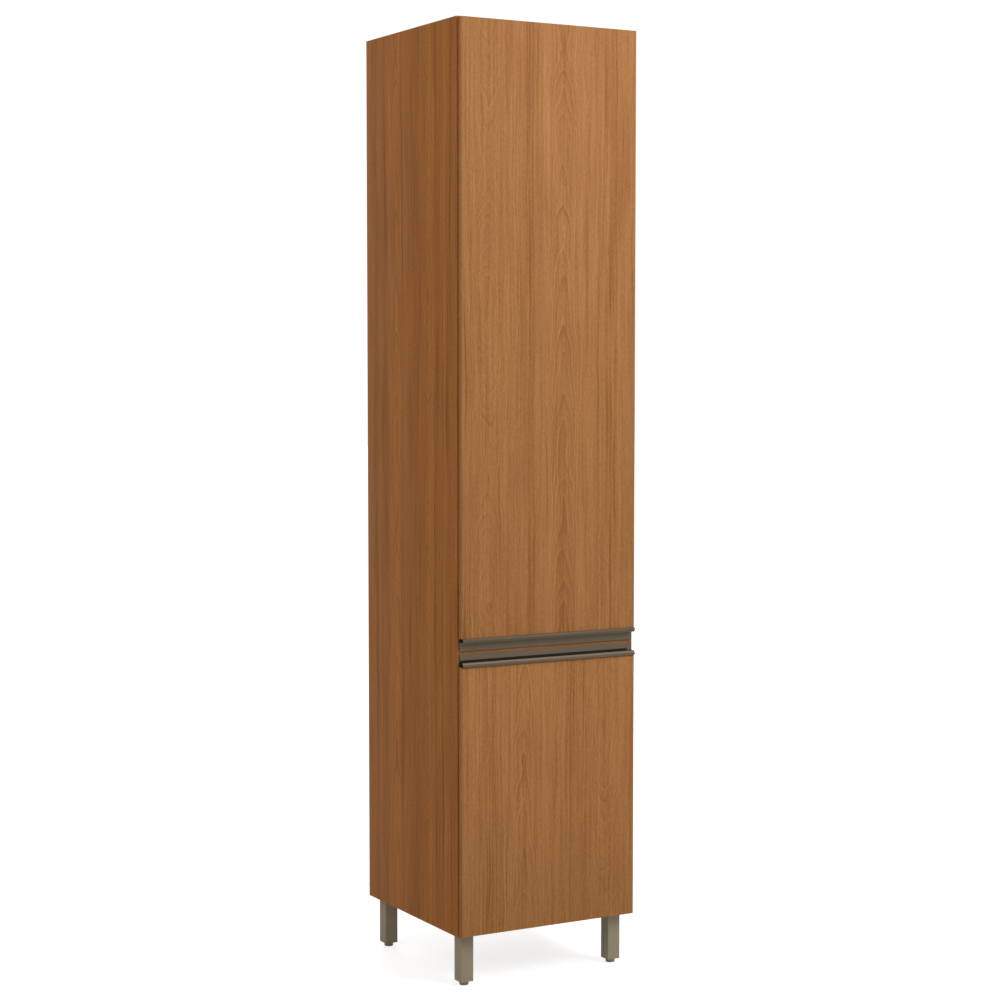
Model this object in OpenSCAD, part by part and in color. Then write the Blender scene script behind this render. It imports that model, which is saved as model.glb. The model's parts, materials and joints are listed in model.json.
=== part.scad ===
/* [Carcass] */
// Width over both side panels
body_w = 500; // [460:5:600]
// Depth of the side panels
body_d = 490; // [440:5:580]
// Height of the side panels
body_h = 2220; // [2000:10:2400]
// Thickness of the sides, top, bottom and shelves
panel_t = 15; // [15:0.5:18]
// Thickness of the back panels
back_t = 3; // [2.5:0.5:6]
// How far the back panels lie in from the rear edges of the sides
back_inset = 1; // [1:0.5:3]
// Width of the rebate in each side that takes the back panels
rebate_w = 8; // [6:0.5:9]
// Height of the fixed shelf's middle above the underside of the carcass
split_h = 698; // [650:1:760]
// Height of the hanging rail
rail_h = 80; // [70:5:120]
// Distance between the two wall screw holes in the rail
wall_hole_gap = 300; // [200:10:360]
// Radius of a wall screw hole
wall_hole_r = 3; // [2:0.25:4]

/* [Loose shelves] */
// Gap between a loose shelf and each side panel
shelf_play = 1; // [0.5:0.5:2]
// How far the loose shelves stand back from the front edges
shelf_setback = 20; // [10:5:40]
// Radius of a shelf pin's shank
pin_r = 2.5; // [2:0.25:3]
// Radius of a shelf pin's head
pin_head_r = 4; // [3.5:0.25:5]
// Length of a shelf pin's head
pin_head_len = 9; // [7:0.5:12]

/* [Doors] */
// Thickness of the doors
door_t = 15; // [15:0.5:18]
// Gap between the doors and the front edges of the carcass
door_gap = 2; // [2:0.25:3]
// How far each door edge stands in from the side of the carcass
door_side_gap = 1; // [0.5:0.25:2]
// How far the doors stay below the top and above the underside of the carcass
door_end_gap = 2.5; // [1:0.5:5]
// Radius of the rounded upright edges of the doors
door_round = 7; // [6.5:0.25:7.4]

/* [Handles] */
// Height of a handle profile from the door edge to its tip
handle_h = 32; // [28:1:40]
// Gap between the tips of the two profiles
handle_gap = 5; // [2:0.5:6]
// Wall thickness of the profiles
handle_wall = 1.6; // [1.2:0.2:2]
// How far the outer faces of the end plugs stand in from the side of the carcass
handle_inset = 3.8; // [3.8:0.2:8]
// How far the web stands forward of the door's rear face
web_set = 0.5; // [0.5:0.25:2]
// Height of the finger lip
lip_h = 11; // [10:0.5:15]
// How far the lip stands out in front of the door
lip_out = 4; // [2:0.5:6]
// Height of the upright part of the lip
lip_straight = 6; // [4:0.5:7]
// How far the tip of the lip leans back
lip_lean = 3; // [1:0.5:4]
// Height of the end plugs of the upper profile
upper_cap_h = 9; // [5:0.5:10]
// Height of the end plugs of the lower profile
lower_cap_h = 11; // [6:0.5:18]
// Height of the dark liner behind the lower lip
liner_h = 16; // [13:0.5:20]
// How far the liner ends before the right end of the lower profile
liner_short = 13; // [10:1:30]

/* [Hinges] */
// Distance of the hinge pin from the door's outer edge
pin_in = 9; // [8.5:0.25:9]
// Depth of the hinge pin behind the door's rear face
pin_depth = 8.5; // [8.25:0.25:8.5]
// Radius of a hinge cup
cup_r = 17.5; // [17.5:0.5:18]
// Depth of a hinge cup
cup_depth = 12.4; // [12:0.2:13]
// Wall thickness of a hinge cup
cup_wall = 0.8; // [0.6:0.1:1]
// Wood left between the door's outer edge and a hinge cup
cup_edge = 4.5; // [4.5:0.25:5]
// Radius of a hinge pin
hinge_pin_r = 1.5; // [1.25:0.25:1.5]
// Thickness of the hinge arm's sheet
arm_t = 2.4; // [2:0.1:2.6]
// Distance from the hinge pin to the middle of the arm
arm_hook = 12; // [11.8:0.1:12.4]
// Distance of the mounting plate's middle from the carcass front
plate_in = 37; // [37:1:45]
// Distance of the outer hinges from the ends of each door
hinge_end = 100; // [90:5:120]

/* [Legs] */
// Width of the square legs
leg_w = 35; // [28:1:40]
// Wall thickness of the legs
leg_wall = 1.5; // [1.2:0.1:2]
// Length of the legs
leg_len = 120; // [90:1:150]
// How far the legs stand in from the sides, the front and the back
leg_inset = 20; // [18:1:30]
// Thickness of the plate on top of a leg
leg_plate_t = 2.5; // [2:0.5:4]
// Height of a levelling foot below the leg
foot_h = 10; // [10:1:20]
// Radius of a levelling foot
foot_r = 12; // [9:0.5:14]
// Radius of a foot's threaded stud
stud_r = 4; // [3:0.5:5]
// Length of the stud above the leg's lower end
stud_reach = 28; // [26:1:40]

/* [Hidden] */
$fn = 48;
eps = 0.01;

// Clearances
clear = 0.05;
seat_gap = 0.3;

// The carcass in the part's frame, with the front facing -Y
overall_d = body_d + door_gap + door_t + lip_out;
front_y = lip_out + door_t + door_gap - overall_d / 2;
back_y = front_y + body_d;
back_front_y = back_y - back_inset - back_t;
base_z = foot_h + leg_len;
top_z = base_z + body_h;
inner_w = body_w - 2 * panel_t;
split_z = base_z + split_h;
top_under_z = top_z - panel_t;

// Undersides of the bottom, the fixed shelf and the top
fixed_z = [base_z, split_z - panel_t / 2, top_under_z];

// Cam joints and dowels
fix_in = 110;
fix_step = 32;
cam_ys = [front_y + fix_in, back_y - fix_in];
dowel_ys = [front_y + fix_in - fix_step, back_y - fix_in + fix_step];
cam_in = 24;
cam_r = 7.5;
cam_h = 12;
cam_socket_r = 3.9;
bolt_r = 3.5;
bolt_neck_r = 2;
bolt_thread_r = 2.5;
bolt_side_len = 10.5;
dowel_r = 4;
dowel_side_len = 10.5;
dowel_len = 30;

// Hanging rail and wall brackets
rail_y = back_front_y - panel_t;
rail_mid_z = top_under_z - rail_h / 2;
rail_dowel_step = 50;
bracket_w = 40;
bracket_t = 2;
bracket_leg = 32;
bracket_screw_r = 1.75;
bracket_screw_step = 24;

// Back panels and their nails
back_play = 0.5;
back_seam = 1;
nail_r = 0.8;
nail_head_r = 1.8;
nail_head_h = 0.6;
nail_len = 16;
seam_nail_rise = 5.5;
nail_end = 40;
nail_seam = 60;
upper_nails = 8;
lower_nails = 4;
strip_h = 6;

// Loose shelves and their pins
pin_side_len = 8;
pin_front_in = 60;
pin_back_in = 70;
pin_ys = [front_y + pin_front_in, back_y - pin_back_in];
pin_hole_step = 32;
shelf_y = front_y + shelf_setback;
shelf_back_gap = 2;

// Doors
door_w = body_w - 2 * door_side_gap;
door_rear_y = front_y - door_gap;
upper_door_z = split_z + handle_gap / 2 + handle_h;
upper_door_h = top_z - door_end_gap - upper_door_z;
lower_door_z = base_z + door_end_gap;
lower_door_h = split_z - handle_gap / 2 - handle_h - lower_door_z;
bumper_r = 4.5;
bumper_in = 12;
bumper_end = 45;

// Handles
handle_front = door_t + lip_out;
lip_wall = 1.8;
lip_tip = lip_h - lip_wall / 2;
cap_t = 0.8;
cap_plug_len = 8;
liner_t = 0.8;
profile_len = body_w - 2 * (handle_inset + cap_t);
handle_screw_r = 1.75;
handle_screw_len = 28;
handle_screw_xs = [for (k = [-3, -1, 1, 3]) k * profile_len / 8];

// Hinges, in a frame with the pin on the Z axis, +X outwards and +Y rearwards
hinge_x = body_w / 2 - door_side_gap - pin_in;
hinge_y = door_rear_y - pin_depth;
cup_x = pin_in - cup_edge - cup_r;
cup_inner_r = cup_r - cup_wall;
flange_t = 1;
flange_cut_x = pin_in - 5.5;
flange_screw_x = cup_x - 6;
flange_screw_z = 24;
knuckle_r = 2.6;
knuckle_len = 12;
ear_t = 1.5;
ear_gap = 0.2;
arm_w = 14;
arm_face_x = arm_t / 2 - arm_hook;
wall_x = body_w / 2 - panel_t - hinge_x;
front_line_y = front_y - hinge_y;
plate_base_t = 2;
plate_mid_y = front_line_y + plate_in;
plate_len = 40;
plate_boss_w = 10.8;
plate_wing_z = 16;
arm_end_y = plate_mid_y + plate_len / 2;
arm_screw_r = 2;
arm_screw_reach = 4;
arm_screw_head_r = 3.8;
arm_screw_head_h = 1.6;
arm_screw_y = plate_mid_y + 11;
adjust_screw_y = plate_mid_y - 8;

// Heights of the hinges: the middle one of the upper door lies between its two highest shelves
upper_low_z = split_z + panel_t / 2;
lower_low_z = base_z + panel_t;
lower_high_z = split_z - panel_t / 2;
function shelf_z(low, high, n, i) = low + i * (high - low + panel_t) / (n + 1) - panel_t;
upper_shelf_z = [for (i = [1:3]) shelf_z(upper_low_z, top_under_z, 3, i)];
lower_shelf_z = shelf_z(lower_low_z, lower_high_z, 1, 1);
shelf_levels = concat(upper_shelf_z, [lower_shelf_z]);
upper_hinge_zs = [
    upper_door_z + hinge_end,
    (upper_shelf_z[1] + panel_t + upper_shelf_z[2]) / 2,
    upper_door_z + upper_door_h - hinge_end
];
lower_hinge_zs = [lower_door_z + hinge_end, lower_door_z + lower_door_h - hinge_end];
hinge_zs = concat(upper_hinge_zs, lower_hinge_zs);

// Legs, in a frame at a lower corner of the carcass with +X and +Y inwards
leg_mid = leg_inset + leg_w / 2;
leg_round = 1.5;
leg_screw_r = 2;
leg_screw_len = 13;
leg_screw_head_h = 2;
leg_screw_xs = [leg_inset + 8, leg_inset + leg_w + 10];
leg_screw_ys = [leg_inset - 8, leg_inset + leg_w + 8];
leg_plate_lip = 18;
leg_plate_side = 15;
insert_len = 25;
foot_socket = 8;

wood = [0.60, 0.40, 0.24];
inner_wood = [0.66, 0.47, 0.30];
back_board = [0.70, 0.56, 0.40];
bronze = [0.42, 0.36, 0.30];
champagne = [0.52, 0.48, 0.40];
black = [0.05, 0.05, 0.05];
steel = [0.70, 0.71, 0.73];
zinc = [0.62, 0.60, 0.52];
beech = [0.80, 0.64, 0.42];
clear_rubber = [0.85, 0.86, 0.84];

// Stands children at a point of side s (1 right, -1 left) with +Z into the side panel
module into_side(s, y, z) translate([s * inner_w / 2, y, z]) rotate([0, s * 90, 0]) children();

// Stands children at the end of a cross panel with +Z into that panel
module into_end(s, y, z) translate([s * inner_w / 2, y, z]) rotate([0, -s * 90, 0]) children();

// Cylinder that starts a little below z = 0, for cutting a hole
module hole(r, h) translate([0, 0, -eps]) cylinder(r = r, h = h + eps);

// Screw along +Z with its head below z = 0 and a cross recess in the head
module screw(r, len, head_r, head_h) {
    cylinder(r = r, h = len);
    difference() {
        translate([0, 0, -head_h]) cylinder(r = head_r, h = head_h);
        for (a = [0, 90]) rotate(a)
            translate([-head_r * 0.55, -head_r * 0.12, -head_h - eps]) cube([head_r * 1.1, head_r * 0.24, head_h * 0.6]);
    }
}

module rounded_square(w, r) {
    square([w, w - 2 * r], center = true);
    square([w - 2 * r, w], center = true);
    for (x = [-1, 1], y = [-1, 1]) translate([x * (w / 2 - r), y * (w / 2 - r)]) circle(r = r);
}

// Side panels with the holes for bolts, dowels, shelf pins and hinge plates
module side_panel(s) {
    difference() {
        translate([s * (body_w - panel_t) / 2 - panel_t / 2, front_y, base_z]) cube([panel_t, body_d, body_h]);
        translate([-inner_w / 2 - rebate_w, back_front_y, base_z - eps])
            cube([inner_w + 2 * rebate_w, back_t + back_inset + eps, body_h + 2 * eps]);
        for (z = fixed_z) {
            for (y = cam_ys) into_side(s, y, z + panel_t / 2) hole(bolt_thread_r + clear, bolt_side_len + 0.5);
            for (y = dowel_ys) into_side(s, y, z + panel_t / 2) hole(dowel_r + clear, dowel_side_len + 0.5);
        }
        for (k = [-1, 1])
            into_side(s, rail_y + panel_t / 2, rail_mid_z + k * rail_dowel_step / 2)
                hole(dowel_r + clear, dowel_side_len + 0.5);
        for (z = shelf_levels, y = pin_ys, k = [-1, 0, 1])
            into_side(s, y, z - pin_head_r - clear + k * pin_hole_step) hole(pin_r + clear, pin_side_len + 0.5);
        if (s == 1) at_plate_screws() hole(plate_screw_r + clear, plate_screw_len - plate_base_t + 0.5);
        at_nails() hole(nail_r, nail_len + 0.5);
    }
}

module side_left() color(wood) side_panel(-1);
module side_right() color(wood) side_panel(1);

// Cross panel between the sides, with cam pockets from below
module cross_panel(z) {
    difference() {
        translate([-inner_w / 2, front_y, z]) cube([inner_w, back_front_y - front_y, panel_t]);
        for (s = [-1, 1], y = cam_ys) {
            translate([s * (inner_w / 2 - cam_in), y, z]) hole(cam_r + clear, cam_h + 0.3);
            into_end(s, y, z + panel_t / 2) hole(bolt_r + clear, cam_in);
        }
        for (s = [-1, 1], y = dowel_ys)
            into_end(s, y, z + panel_t / 2) hole(dowel_r + clear, dowel_len - dowel_side_len + 0.5);
        at_nails() hole(nail_r, nail_len + 0.5);
    }
}

module top_panel() color(wood) difference() {
    cross_panel(top_under_z);
    at_bracket_screws() hole(bracket_screw_r, bracket_screw_len - bracket_t + 0.5);
}

module bottom_panel() color(wood) difference() {
    cross_panel(base_z);
    at_legs() at_leg_screws() hole(leg_screw_r, leg_screw_len - leg_plate_t + 0.5);
}

module fixed_shelf() color(wood) cross_panel(split_z - panel_t / 2);

// Back panels lie in the rebates and meet behind the fixed shelf
module back_panel(low, high) {
    difference() {
        translate([-inner_w / 2 - rebate_w + back_play, back_front_y, low])
            cube([inner_w + 2 * (rebate_w - back_play), back_t, high - low]);
        at_nails() hole(nail_r, nail_len);
        at_wall_holes() hole(wall_hole_r, back_t + panel_t + bracket_t);
    }
}

module upper_back() color(back_board) back_panel(split_z + back_seam / 2, top_z - back_play);
module lower_back() color(back_board) back_panel(base_z + back_play, split_z - back_seam / 2);

module back_strip() color(black) {
    len = inner_w + 2 * (rebate_w - back_play);
    flange_y = back_y - back_inset;
    translate([-len / 2, flange_y, split_z - strip_h / 2]) cube([len, 0.9, strip_h]);
    translate([-len / 2, flange_y - back_t + clear, split_z - back_seam / 2 + clear])
        cube([len, back_t, back_seam - 2 * clear]);
}

// Nail points along the sides, the top, the bottom and both sides of the seam
function nail_row(low, high, n) = [for (k = [0:n - 1]) low + k * (high - low) / (n - 1)];
upper_nail_zs = nail_row(split_z + nail_seam, top_z - nail_end, upper_nails);
lower_nail_zs = nail_row(base_z + nail_end, split_z - nail_seam, lower_nails);
side_nails = [for (s = [-1, 1], z = concat(upper_nail_zs, lower_nail_zs)) [s * (inner_w + rebate_w) / 2, z]];
edge_nail_zs = [top_z - panel_t / 2, split_z + seam_nail_rise, split_z - seam_nail_rise, base_z + panel_t / 2];
edge_nails = [for (k = [-1, 0, 1], z = edge_nail_zs) [k * inner_w * 0.3, z]];

module at_nails() for (p = concat(side_nails, edge_nails))
    translate([p[0], back_y - back_inset, p[1]]) rotate([90, 0, 0]) children();

module back_nails() color(steel) at_nails() {
    cylinder(r = nail_r, h = nail_len);
    translate([0, 0, -nail_head_h]) cylinder(r = nail_head_r, h = nail_head_h);
}

// Hanging rail, with the holes for the wall screws
module at_wall_holes() for (s = [-1, 1])
    translate([s * wall_hole_gap / 2, back_front_y + back_t, rail_mid_z]) rotate([90, 0, 0]) children();

module hanging_rail() color(inner_wood) difference() {
    translate([-inner_w / 2, rail_y, top_under_z - rail_h]) cube([inner_w, panel_t, rail_h]);
    at_wall_holes() hole(wall_hole_r, back_t + panel_t + bracket_t);
    for (s = [-1, 1], k = [-1, 1])
        into_end(s, rail_y + panel_t / 2, rail_mid_z + k * rail_dowel_step / 2)
            hole(dowel_r + clear, dowel_len - dowel_side_len + 0.5);
}

// Angle brackets between the rail and the top
bracket_screw_len = 12;
module at_bracket_screws() for (s = [-1, 1], k = [-1, 1])
    translate([s * wall_hole_gap / 2 + k * bracket_screw_step / 2, rail_y - bracket_leg * 0.6, top_under_z])
        children();

module wall_brackets() color(steel) difference() {
    for (s = [-1, 1]) translate([s * wall_hole_gap / 2 - bracket_w / 2, rail_y - bracket_t, 0]) {
        translate([0, 0, rail_mid_z - 12]) cube([bracket_w, bracket_t, rail_h / 2 + 12]);
        translate([0, bracket_t - bracket_leg, top_under_z - bracket_t]) cube([bracket_w, bracket_leg, bracket_t]);
    }
    at_wall_holes() hole(wall_hole_r, back_t + panel_t + bracket_t + 1);
    translate([0, 0, -bracket_t - eps]) at_bracket_screws() cylinder(r = bracket_screw_r + clear, h = bracket_t + 2 * eps);
}

module bracket_screws() color(steel) translate([0, 0, -bracket_t]) at_bracket_screws()
    screw(bracket_screw_r, bracket_screw_len, 3.5, 2);

// Loose shelves and the pins they rest on
module loose_shelf(z) color(inner_wood)
    translate([shelf_play - inner_w / 2, shelf_y, z])
        cube([inner_w - 2 * shelf_play, back_front_y - shelf_back_gap - shelf_y, panel_t]);

module shelf_1() loose_shelf(upper_shelf_z[0]);
module shelf_2() loose_shelf(upper_shelf_z[1]);
module shelf_3() loose_shelf(upper_shelf_z[2]);
module shelf_lower() loose_shelf(lower_shelf_z);

module shelf_pins() color(steel)
    for (z = shelf_levels, y = pin_ys, s = [-1, 1]) into_side(s, y, z - pin_head_r - clear) {
        translate([0, 0, -eps]) cylinder(r = pin_r, h = pin_side_len + eps);
        translate([0, 0, -pin_head_len]) cylinder(r = pin_head_r, h = pin_head_len);
    }

// Cam joints: a bolt in the side, its head held by a turning lock in the cross panel
module cam_bolts() color(steel) for (z = fixed_z, y = cam_ys, s = [-1, 1]) into_side(s, y, z + panel_t / 2) {
    neck_z = cam_r - cam_in;
    cylinder(r = bolt_thread_r, h = bolt_side_len);
    translate([0, 0, neck_z - 0.3]) cylinder(r = bolt_r, h = 0.3 - neck_z);
    translate([0, 0, -cam_in]) cylinder(r = bolt_neck_r, h = cam_in + neck_z);
    translate([0, 0, -cam_in - 2]) cylinder(r = bolt_r - 0.2, h = 2.5);
}

module cam_locks() color(zinc) for (z = fixed_z, y = cam_ys, s = [-1, 1]) {
    x = s * (inner_w / 2 - cam_in);
    difference() {
        translate([x, y, z]) cylinder(r = cam_r, h = cam_h);
        into_end(s, y, z + panel_t / 2) cylinder(r = cam_socket_r, h = cam_in + 3);
        for (a = [0, 90]) translate([x, y, z - eps]) rotate(a) translate([-4, -0.6, 0]) cube([8, 1.2, 2]);
    }
}

module dowels() color(beech) {
    for (z = fixed_z, y = dowel_ys, s = [-1, 1]) into_side(s, y, z + panel_t / 2) dowel();
    for (s = [-1, 1], k = [-1, 1])
        into_side(s, rail_y + panel_t / 2, rail_mid_z + k * rail_dowel_step / 2) dowel();
}

module dowel() translate([0, 0, dowel_side_len - dowel_len]) cylinder(r = dowel_r, h = dowel_len);

// Hinge parts on the carcass
plate_screw_r = 1.9;
plate_screw_len = 13;
module at_hinges(zs) for (z = zs) translate([hinge_x, hinge_y, z]) children();

module at_plate_screws() at_hinges(hinge_zs) for (k = [-1, 1])
    translate([wall_x, plate_mid_y, k * plate_wing_z]) rotate([0, 90, 0]) children();

module hinge_plates() color(steel) difference() {
    at_hinges(hinge_zs) {
        translate([arm_face_x, plate_mid_y - plate_len / 2 + 1, -plate_boss_w / 2])
            cube([wall_x - arm_face_x, plate_len - 1, plate_boss_w]);
        translate([wall_x - plate_base_t, plate_mid_y - 6.5, -plate_wing_z - 5.5])
            cube([plate_base_t, 13, 2 * plate_wing_z + 11]);
    }
    at_hinges(hinge_zs) {
        for (k = [-1, 1]) translate([wall_x - plate_base_t - eps, plate_mid_y, k * plate_wing_z])
            rotate([0, 90, 0]) cylinder(r = plate_screw_r + clear, h = plate_base_t + 2 * eps);
        for (y = [arm_screw_y, adjust_screw_y]) translate([arm_face_x - eps, y, 0])
            rotate([0, 90, 0]) cylinder(r = arm_screw_r + clear, h = arm_screw_reach + 0.5);
    }
}

module plate_screws() color(steel) translate([-plate_base_t, 0, 0]) at_plate_screws()
    screw(plate_screw_r, plate_screw_len, 3.6, 1.8);

module hinge_arms() color(steel) difference() {
    at_hinges(hinge_zs) {
        cylinder(r = knuckle_r, h = knuckle_len, center = true);
        translate([-arm_hook - arm_t / 2, -arm_t / 2, -knuckle_len / 2]) cube([arm_hook + arm_t / 2, arm_t, knuckle_len]);
        translate([-arm_hook - arm_t / 2, -arm_t / 2, -arm_w / 2]) cube([arm_t, arm_end_y + arm_t / 2, arm_w]);
        for (k = [-1, 1]) translate([-arm_hook - arm_t / 2, front_line_y + 8, k * (arm_w / 2 - 0.75) - 0.75])
            cube([arm_t + 3.2, arm_end_y - front_line_y - 8, 1.5]);
    }
    at_hinges(hinge_zs) {
        cylinder(r = hinge_pin_r + clear, h = knuckle_len + 2, center = true);
        for (y = [arm_screw_y, adjust_screw_y]) translate([-arm_hook - arm_t / 2 - eps, y, 0])
            rotate([0, 90, 0]) cylinder(r = arm_screw_r + clear, h = arm_t + 2 * eps);
    }
}

module arm_screws() color(zinc) at_hinges(hinge_zs) for (y = [arm_screw_y, adjust_screw_y])
    translate([-arm_hook - arm_t / 2, y, 0]) rotate([0, 90, 0])
        screw(arm_screw_r, arm_t + arm_screw_reach, arm_screw_head_r, arm_screw_head_h);

// Hinge parts on a door
module cup_bodies(zs) at_hinges(zs) difference() {
    union() {
        translate([cup_x, pin_depth, 0]) rotate([90, 0, 0]) cylinder(r = cup_r, h = cup_depth);
        translate([0, pin_depth + flange_t, 0]) rotate([90, 0, 0]) linear_extrude(flange_t) {
            translate([cup_x, 0]) circle(r = cup_r + 1.5);
            translate([flange_screw_x - 5, -flange_screw_z]) square([10, 2 * flange_screw_z]);
            for (k = [-1, 1]) translate([flange_screw_x, k * flange_screw_z]) circle(r = 5);
        }
    }
    translate([cup_x, pin_depth + flange_t + eps, 0]) rotate([90, 0, 0])
        cylinder(r = cup_inner_r, h = cup_depth - cup_wall + flange_t + eps);
    translate([flange_cut_x, pin_depth, -cup_r * 2]) cube([cup_r, flange_t + eps, cup_r * 4]);
    for (k = [-1, 1]) translate([flange_screw_x, pin_depth + flange_t + eps, k * flange_screw_z])
        rotate([90, 0, 0]) cylinder(r = cup_screw_r + clear, h = flange_t + 2 * eps);
}

// Ears in the cup that hold the pin on both sides of the knuckle
module cup_ears(zs) at_hinges(zs) intersection() {
    for (k = [-1, 1]) translate([-3, pin_depth - cup_depth + cup_wall / 2, k * (knuckle_len / 2 + ear_gap + ear_t / 2) - ear_t / 2])
        cube([6.5, cup_depth - cup_wall / 2 - pin_depth + 2.6, ear_t]);
    translate([cup_x, pin_depth, 0]) rotate([90, 0, 0]) cylinder(r = cup_r - cup_wall / 2, h = cup_depth);
}

module hinge_cups(zs) color(steel) difference() {
    union() {
        cup_bodies(zs);
        cup_ears(zs);
    }
    at_hinges(zs) cylinder(r = hinge_pin_r, h = pin_len, center = true);
}

pin_len = knuckle_len + 2 * (ear_gap + ear_t);
module hinge_pins(zs) color(steel) at_hinges(zs) cylinder(r = hinge_pin_r, h = pin_len, center = true);

cup_screw_r = 1.75;
cup_screw_len = 12;
module at_cup_screws(zs) at_hinges(zs) for (k = [-1, 1])
    translate([flange_screw_x, pin_depth, k * flange_screw_z]) rotate([90, 0, 0]) children();

module cup_screws(zs) color(steel) translate([0, flange_t, 0]) at_cup_screws(zs)
    screw(cup_screw_r, cup_screw_len, 3.5, 1.4);

// Door board with rounded upright edges, cup bores and screw holes
module door_board(z, h, zs, edge_z, dir) {
    difference() {
        translate([0, door_rear_y - door_t / 2, z]) linear_extrude(h) {
            square([door_w, door_t - 2 * door_round], center = true);
            square([door_w - 2 * door_round, door_t], center = true);
            for (x = [-1, 1], y = [-1, 1])
                translate([x * (door_w / 2 - door_round), y * (door_t / 2 - door_round)]) circle(r = door_round);
        }
        at_hinges(zs) translate([cup_x, pin_depth + eps, 0]) rotate([90, 0, 0])
            cylinder(r = cup_r + clear, h = cup_depth + clear + eps);
        at_cup_screws(zs) hole(cup_screw_r, cup_screw_len - flange_t + 0.5);
        at_handle_screws(edge_z, dir) hole(handle_screw_r, handle_screw_len - handle_wall + 0.5);
    }
}

module upper_door() color(wood) door_board(upper_door_z, upper_door_h, upper_hinge_zs, upper_door_z, -1);
module lower_door() color(wood)
    door_board(lower_door_z, lower_door_h, lower_hinge_zs, lower_door_z + lower_door_h, 1);

// Handle profile: X of the section runs forward from the door's rear face, Y away from the door edge
module handle_section() {
    translate([web_set, 0]) square([handle_wall, handle_h - handle_wall / 2]);
    translate([web_set + handle_wall / 2, handle_h - handle_wall / 2]) circle(r = handle_wall / 2);
    translate([web_set, 0]) square([handle_front - web_set - lip_wall / 2, handle_wall]);
    polygon([
        [handle_front - lip_wall, 0],
        [handle_front, 0],
        [handle_front, lip_straight],
        [handle_front - lip_lean, lip_tip],
        [handle_front - lip_lean - lip_wall, lip_tip],
        [handle_front - lip_wall, lip_straight]
    ]);
    translate([handle_front - lip_lean - lip_wall / 2, lip_tip]) circle(r = lip_wall / 2);
}

// How far the lip has leaned back at height h above the door edge
function lean_at(h) = lip_lean * max(0, min(1, (h - lip_straight) / (lip_tip - lip_straight)));

// Front edge of a plug of height h: back along the lip, then upright above its tip
function plug_front(x, h) = concat(
    [for (y = [lip_straight, lip_tip]) if (y < h) [x - lean_at(y), y]],
    [[x - lean_at(h), h]]
);

// Outline of an end plug's outer plate, and of its body in the channel in front of the liner
module cap_outline(h)
    polygon(concat([[web_set, 0], [handle_front, 0]], plug_front(handle_front, h), [[web_set, h]]));

module plug_outline(h) {
    low = handle_wall + clear;
    rear = web_set + handle_wall + liner_t + 2 * clear;
    front = handle_front - lip_wall - 2 * clear;
    polygon(concat([[rear, low], [front, low]], plug_front(front, h), [[rear, h]]));
}

// Stands a section at a door edge, extruded along X from x0
module along_handle(x0, len, edge_z, dir) translate([x0, door_rear_y, edge_z]) rotate([90, 0, 90])
    linear_extrude(len) mirror([1, 0]) mirror([0, dir < 0 ? 1 : 0]) children();

module at_handle_screws(edge_z, dir) for (x = handle_screw_xs)
    translate([x, door_rear_y - door_t / 2, edge_z]) rotate([dir > 0 ? 180 : 0, 0, 0]) children();

module handle(edge_z, dir) color(bronze) difference() {
    along_handle(-profile_len / 2, profile_len, edge_z, dir) handle_section();
    at_handle_screws(edge_z + dir * handle_wall, dir) translate([0, 0, -eps])
        cylinder(r = handle_screw_r + clear, h = handle_wall + 2 * eps);
}

// Dark strip on the front of the web, from behind the left end plug to a little before the right end
module liner(edge_z, dir) color(black) {
    left = clear - profile_len / 2;
    along_handle(left, profile_len / 2 - liner_short - left, edge_z, dir)
        translate([web_set + handle_wall, handle_wall + clear]) square([liner_t, liner_h - handle_wall - clear]);
}

module handle_screws(edge_z, dir) color(steel) at_handle_screws(edge_z + dir * handle_wall, dir)
    screw(handle_screw_r, handle_screw_len, 3.2, 1.8);

// End plug on side s: a thin plate over the profile's end and a body in its channel
module handle_cap(s, edge_z, dir, h) color(black) {
    plate_x = s > 0 ? profile_len / 2 : -profile_len / 2 - cap_t;
    plug_x = s > 0 ? profile_len / 2 - cap_plug_len : -profile_len / 2;
    along_handle(plate_x, cap_t, edge_z, dir) cap_outline(h);
    along_handle(plug_x - eps, cap_plug_len + 2 * eps, edge_z, dir) plug_outline(h);
}

lower_edge_z = lower_door_z + lower_door_h;
module upper_handle() handle(upper_door_z, -1);
module upper_cap_left() handle_cap(-1, upper_door_z, -1, upper_cap_h);
module upper_cap_right() handle_cap(1, upper_door_z, -1, upper_cap_h);
module upper_handle_screws() handle_screws(upper_door_z, -1);
module lower_handle() handle(lower_edge_z, 1);
module lower_liner() liner(lower_edge_z, 1);
module lower_cap_left() handle_cap(-1, lower_edge_z, 1, lower_cap_h);
module lower_cap_right() handle_cap(1, lower_edge_z, 1, lower_cap_h);
module lower_handle_screws() handle_screws(lower_edge_z, 1);

module upper_hinge_cups() hinge_cups(upper_hinge_zs);
module upper_hinge_pins() hinge_pins(upper_hinge_zs);
module upper_cup_screws() cup_screws(upper_hinge_zs);
module lower_hinge_cups() hinge_cups(lower_hinge_zs);
module lower_hinge_pins() hinge_pins(lower_hinge_zs);
module lower_cup_screws() cup_screws(lower_hinge_zs);

// Bumpers on the rear face of a door, opposite the hinges
module bumpers(z, h) color(clear_rubber) for (bz = [z + bumper_end, z + h - bumper_end])
    translate([bumper_in - door_w / 2, door_rear_y + door_gap - seat_gap, bz]) rotate([90, 0, 0])
        cylinder(r = bumper_r, h = door_gap - seat_gap);

module upper_bumpers() bumpers(upper_door_z, upper_door_h);
module lower_bumpers() bumpers(lower_door_z, lower_door_h);

// Legs at the four lower corners
module at_corner(sx, sy) translate([sx * body_w / 2, sy < 0 ? front_y : back_y, base_z])
    mirror([sx > 0 ? 1 : 0, 0, 0]) mirror([0, sy > 0 ? 1 : 0, 0]) children();

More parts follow.
